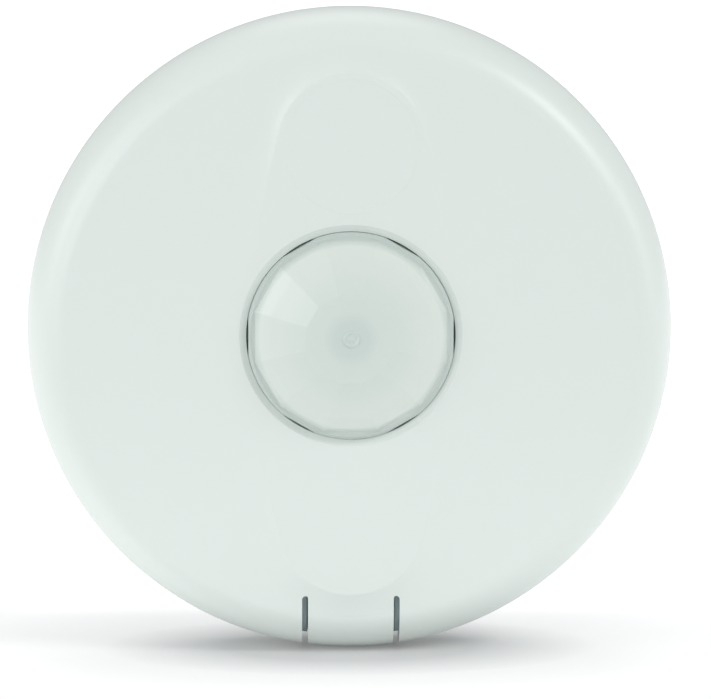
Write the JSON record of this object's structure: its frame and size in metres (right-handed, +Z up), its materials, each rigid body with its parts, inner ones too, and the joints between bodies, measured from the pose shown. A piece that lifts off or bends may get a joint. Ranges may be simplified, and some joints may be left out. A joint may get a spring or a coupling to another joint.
{
  "type": "motion sensor",
  "caption": "Round ceiling motion sensor: faceted infrared lens in a dished cover that hinges and latches over a base tray with its circuit board.",
  "frame": {"origin": "centre of the mounting face, on the back of the base tray", "axes": "+Y out of the back into the ceiling or wall, -Y out of the lens into the room, +Z up the face towards the hinge, with the latch at -Z, +X to the right as the lens is looked at"},
  "size_m": [0.12, 0.0271, 0.1199],
  "materials": {
    "cover_white": "satin, mint white",
    "tray_white": "fine texture, white",
    "lens_white": "milky translucent, satin",
    "inner_white": "matt white",
    "foam": "closed-cell foam, dark grey",
    "soft_grey": "matt",
    "board_green": "green solder mask over glass laminate",
    "steel": "zinc plated",
    "can_metal": "nickel plated, drawn",
    "filter": "dark silicon, polished",
    "gold": "gold plated",
    "tin": "tinned",
    "terminal_green": "satin green",
    "relay_cream": "satin cream",
    "black_plastic": "matt black",
    "sleeve": "gloss dark blue",
    "can_aluminium": "bright",
    "ceramic_tan": "matt tan",
    "varistor_blue": "dipped lacquer, blue",
    "led_red": "tinted clear",
    "trimmer_blue": "satin blue",
    "cream_plastic": "satin",
    "cap_red": "satin red",
    "plunger_red": "satin red"
  },
  "bodies": {
    "tray": {"base_tray": "tray_white", "tray_wall": "tray_white", "latch_keeper": "tray_white", "cable_grommet": "soft_grey", "circuit_board": "board_green", "board_screws": "steel", "sensor_holder": "cream_plastic", "sensor_can": "can_metal", "sensor_window": "filter", "sensor_pins": "gold", "insect_guard": "inner_white", "terminal_block": "terminal_green", "terminal_contacts": "tin", "relay": "relay_cream", "relay_pins": "tin", "electrolytic_capacitors": "can_aluminium", "capacitor_sleeves": "sleeve", "microcontroller": "black_plastic", "microcontroller_leads": "tin", "chip_resistors": "black_plastic", "chip_capacitors": "ceramic_tan", "resonator": "can_aluminium", "surge_varistor": "varistor_blue", "walk_test_led": "led_red", "trimmer_body": "trimmer_blue", "jumper_header_led": "black_plastic", "jumper_header_range": "black_plastic", "jumper_pins": "gold", "tamper_switch": "black_plastic", "tamper_spring": "steel", "tamper_terminals": "tin"},
    "cover": {"cover": "cover_white", "hinge_pins": "cover_white", "retainer_hooks": "cover_white", "lens": "lens_white", "lens_retainer": "inner_white", "cover_seal": "foam"},
    "latch_tab": {"latch_tab": "cover_white"},
    "trimmer": {"trimmer_rotor": "cream_plastic"},
    "jumper_led": {"jumper_cap_led": "cap_red"},
    "jumper_range": {"jumper_cap_range": "black_plastic"},
    "tamper_plunger": {"tamper_plunger": "plunger_red"},
    "terminal_screw_1": {"terminal_screw_1": "steel"},
    "wire_clamp_1": {"wire_clamp_1": "gold"},
    "terminal_screw_2": {"terminal_screw_2": "steel"},
    "wire_clamp_2": {"wire_clamp_2": "gold"},
    "terminal_screw_3": {"terminal_screw_3": "steel"},
    "wire_clamp_3": {"wire_clamp_3": "gold"},
    "terminal_screw_4": {"terminal_screw_4": "steel"},
    "wire_clamp_4": {"wire_clamp_4": "gold"},
    "terminal_screw_5": {"terminal_screw_5": "steel"},
    "wire_clamp_5": {"wire_clamp_5": "gold"},
    "terminal_screw_6": {"terminal_screw_6": "steel"},
    "wire_clamp_6": {"wire_clamp_6": "gold"}
  },
  "joints": [
    {"name": "cover_swing", "type": "hinge", "parent": "tray", "child": "cover", "pos_m": [0, -0.012, 0.0544], "axis": [-1, 0, 0], "range_deg": [0, 60]},
    {"name": "latch_flex", "type": "hinge", "parent": "cover", "child": "latch_tab", "pos_m": [0, -0.0199, -0.0492], "axis": [1, 0, 0], "range_deg": [0, 5], "stiffness_Nm_per_rad": 0.6},
    {"name": "tamper_travel", "type": "slide", "parent": "tray", "child": "tamper_plunger", "axis": [0, -1, 0], "range_m": [0, 0.0015], "deforming": ["tamper_spring"]},
    {"name": "trimmer_turn", "type": "hinge", "parent": "tray", "child": "trimmer", "pos_m": [0.028, -0.0116, -0.014], "axis": [0, -1, 0], "range_deg": [-135, 135]},
    {"name": "jumper_led_pull", "type": "slide", "parent": "tray", "child": "jumper_led", "axis": [0, -1, 0], "range_m": [0, 0.003]},
    {"name": "jumper_range_pull", "type": "slide", "parent": "tray", "child": "jumper_range", "axis": [0, -1, 0], "range_m": [0, 0.003]},
    {"name": "terminal_screw_1_turn", "type": "hinge", "parent": "tray", "child": "terminal_screw_1", "pos_m": [-0.0125, -0.0151, 0.0306], "axis": [0, -1, 0], "range_deg": [0, 1440]},
    {"name": "wire_clamp_1_lift", "type": "slide", "parent": "tray", "child": "wire_clamp_1", "axis": [0, -1, 0], "range_m": [0, 0.002]},
    {"name": "terminal_screw_2_turn", "type": "hinge", "parent": "tray", "child": "terminal_screw_2", "pos_m": [-0.0075, -0.0151, 0.0306], "axis": [0, -1, 0], "range_deg": [0, 1440]},
    {"name": "wire_clamp_2_lift", "type": "slide", "parent": "tray", "child": "wire_clamp_2", "axis": [0, -1, 0], "range_m": [0, 0.002]},
    {"name": "terminal_screw_3_turn", "type": "hinge", "parent": "tray", "child": "terminal_screw_3", "pos_m": [-0.0025, -0.0151, 0.0306], "axis": [0, -1, 0], "range_deg": [0, 1440]},
    {"name": "wire_clamp_3_lift", "type": "slide", "parent": "tray", "child": "wire_clamp_3", "axis": [0, -1, 0], "range_m": [0, 0.002]},
    {"name": "terminal_screw_4_turn", "type": "hinge", "parent": "tray", "child": "terminal_screw_4", "pos_m": [0.0025, -0.0151, 0.0306], "axis": [0, -1, 0], "range_deg": [0, 1440]},
    {"name": "wire_clamp_4_lift", "type": "slide", "parent": "tray", "child": "wire_clamp_4", "axis": [0, -1, 0], "range_m": [0, 0.002]},
    {"name": "terminal_screw_5_turn", "type": "hinge", "parent": "tray", "child": "terminal_screw_5", "pos_m": [0.0075, -0.0151, 0.0306], "axis": [0, -1, 0], "range_deg": [0, 1440]},
    {"name": "wire_clamp_5_lift", "type": "slide", "parent": "tray", "child": "wire_clamp_5", "axis": [0, -1, 0], "range_m": [0, 0.002]},
    {"name": "terminal_screw_6_turn", "type": "hinge", "parent": "tray", "child": "terminal_screw_6", "pos_m": [0.0125, -0.0151, 0.0306], "axis": [0, -1, 0], "range_deg": [0, 1440]},
    {"name": "wire_clamp_6_lift", "type": "slide", "parent": "tray", "child": "wire_clamp_6", "axis": [0, -1, 0], "range_m": [0, 0.002]}
  ],
  "couplings": [
    {"joint": "tamper_travel", "follows": "cover_swing", "m_per_rad": 0.0014324},
    {"joint": "terminal_screw_1_turn", "follows": "wire_clamp_1_lift", "rad_per_m": 12565},
    {"joint": "terminal_screw_2_turn", "follows": "wire_clamp_2_lift", "rad_per_m": 12565},
    {"joint": "terminal_screw_3_turn", "follows": "wire_clamp_3_lift", "rad_per_m": 12565},
    {"joint": "terminal_screw_4_turn", "follows": "wire_clamp_4_lift", "rad_per_m": 12565},
    {"joint": "terminal_screw_5_turn", "follows": "wire_clamp_5_lift", "rad_per_m": 12565},
    {"joint": "terminal_screw_6_turn", "follows": "wire_clamp_6_lift", "rad_per_m": 12565}
  ]
}
